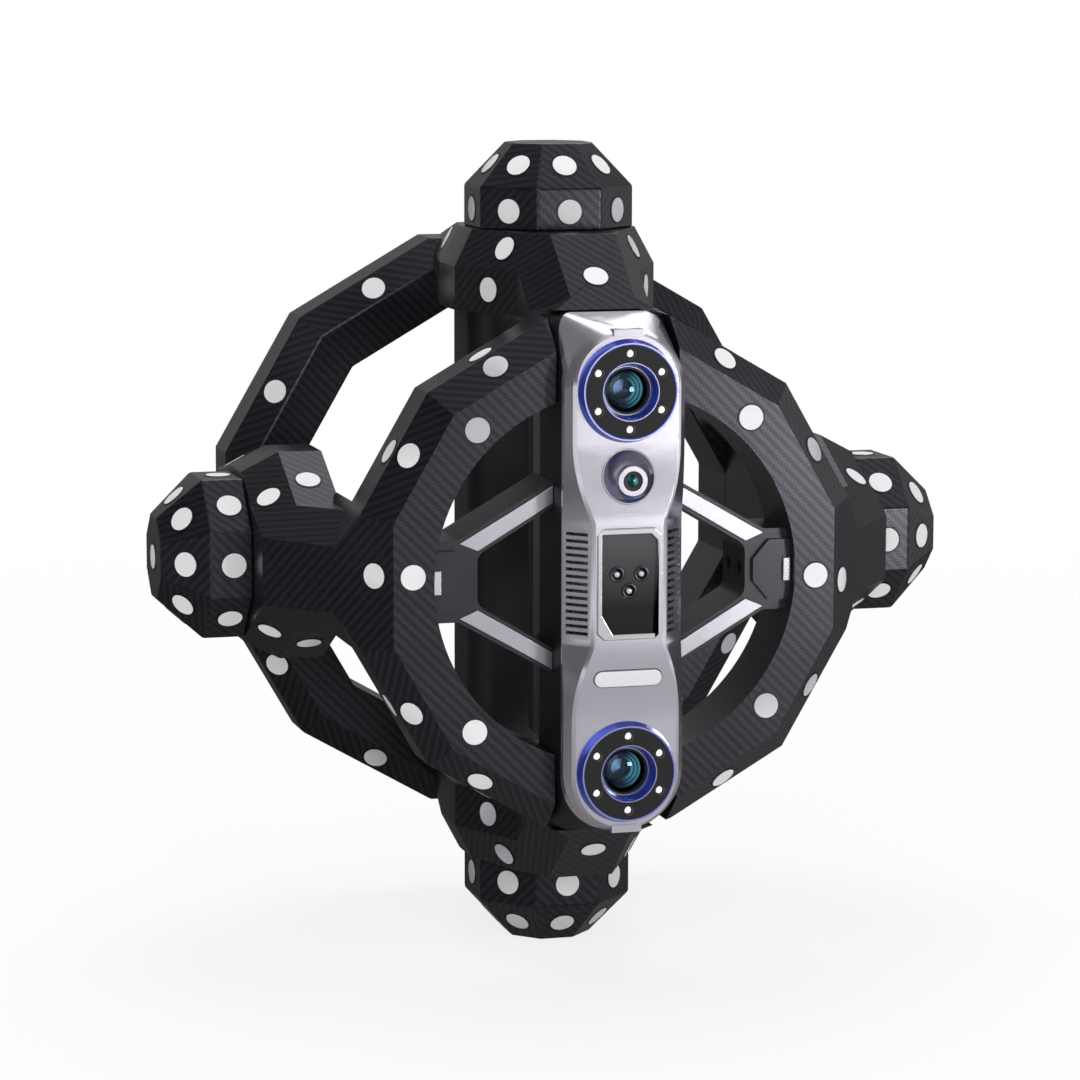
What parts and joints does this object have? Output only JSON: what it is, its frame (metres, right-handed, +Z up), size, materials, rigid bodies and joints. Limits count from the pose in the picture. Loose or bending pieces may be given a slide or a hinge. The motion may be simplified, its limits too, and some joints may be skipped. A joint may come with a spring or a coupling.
{
  "type": "three-d scanner",
  "caption": "Handheld tracked scanner: faceted carbon cage with marker pods round a camera bar that has lit lenses and a laser window, with a rear handle and sprung keys.",
  "frame": {"origin": "centre of the lowest pod's end face, on which the scanner stands", "axes": "+X to the right seen from the front, +Y to the back, +Z up along the upright pods' axis"},
  "size_m": [0.3026, 0.1985, 0.302],
  "materials": {
    "carbon": "semi-gloss carbon weave",
    "marker_black": "matt",
    "marker_white": "reflecting",
    "silver_shell": "satin silver",
    "black_shell": "fine matt",
    "pale_aluminium": "bead blasted",
    "satin_aluminium": "satin",
    "blue_anodised": "anodised",
    "charcoal": "matt",
    "led_white": "gloss",
    "coated_glass": "coated",
    "polished_chrome": "polished",
    "gloss_black": "gloss",
    "brass": "turned",
    "circuit_board": "solder mask",
    "dark_paint": "satin",
    "screw_steel": "satin",
    "grip_plastic": "soft touch",
    "key_silver": "satin",
    "key_grey": "satin"
  },
  "bodies": {
    "scanner": {"front_ring": "carbon", "rear_ring": "carbon", "top_bridge": "carbon", "top_pod": "carbon", "right_bridge": "carbon", "right_pod": "carbon", "bottom_bridge": "carbon", "bottom_pod": "carbon", "left_bridge": "carbon", "left_pod": "carbon", "marker_rims": "marker_black", "marker_dots": "marker_white", "bar_front_shell": "silver_shell", "bar_rear_shell": "black_shell", "bar_chassis": "pale_aluminium", "bar_back_cover": "black_shell", "texture_dish": "polished_chrome", "texture_barrel": "satin_aluminium", "texture_lens": "coated_glass", "projector_frame": "polished_chrome", "laser_panel": "gloss_black", "laser_lenses": "coated_glass", "laser_modules": "brass", "laser_mount": "pale_aluminium", "heat_sink": "pale_aluminium", "main_board": "circuit_board", "fan_frame": "black_shell", "name_plate": "polished_chrome", "left_strut": "dark_paint", "right_strut": "dark_paint", "strut_inlays": "satin_aluminium", "hub_clips": "polished_chrome", "strut_screws": "screw_steel", "bar_screws": "screw_steel", "cover_screws": "screw_steel", "handle_front_shell": "grip_plastic", "handle_rear_shell": "grip_plastic", "handle_screws": "screw_steel", "key_panel": "gloss_black", "key_board": "circuit_board", "cable_socket": "satin_aluminium", "socket_insert": "black_shell", "upper_camera_bezel": "blue_anodised", "upper_led_disc": "charcoal", "upper_leds": "led_white", "upper_lens_barrel": "satin_aluminium", "upper_lens": "coated_glass", "upper_sensor_board": "circuit_board", "lower_camera_bezel": "blue_anodised", "lower_led_disc": "charcoal", "lower_leds": "led_white", "lower_lens_barrel": "satin_aluminium", "lower_lens": "coated_glass", "lower_sensor_board": "circuit_board"},
    "scan_button": {"scan_button": "key_silver"},
    "plus_button": {"plus_button": "key_grey"},
    "minus_button": {"minus_button": "key_grey"},
    "mode_button": {"mode_button": "key_grey"},
    "fan": {"fan_rotor": "black_shell"}
  },
  "joints": [
    {"name": "scan_press", "type": "slide", "parent": "scanner", "child": "scan_button", "axis": [0, -1, 0], "range_m": [0, 0.001], "stiffness_N_per_m": 1500, "springref_m": -0.0005},
    {"name": "plus_press", "type": "slide", "parent": "scanner", "child": "plus_button", "axis": [0, -1, 0], "range_m": [0, 0.001], "stiffness_N_per_m": 1500, "springref_m": -0.0005},
    {"name": "minus_press", "type": "slide", "parent": "scanner", "child": "minus_button", "axis": [0, -1, 0], "range_m": [0, 0.001], "stiffness_N_per_m": 1500, "springref_m": -0.0005},
    {"name": "mode_press", "type": "slide", "parent": "scanner", "child": "mode_button", "axis": [0, -1, 0], "range_m": [0, 0.001], "stiffness_N_per_m": 1500, "springref_m": -0.0005},
    {"name": "fan_spin", "type": "hinge", "parent": "scanner", "child": "fan", "pos_m": [0, -0.0615, 0.151], "axis": [0, 1, 0], "continuous": true}
  ]
}
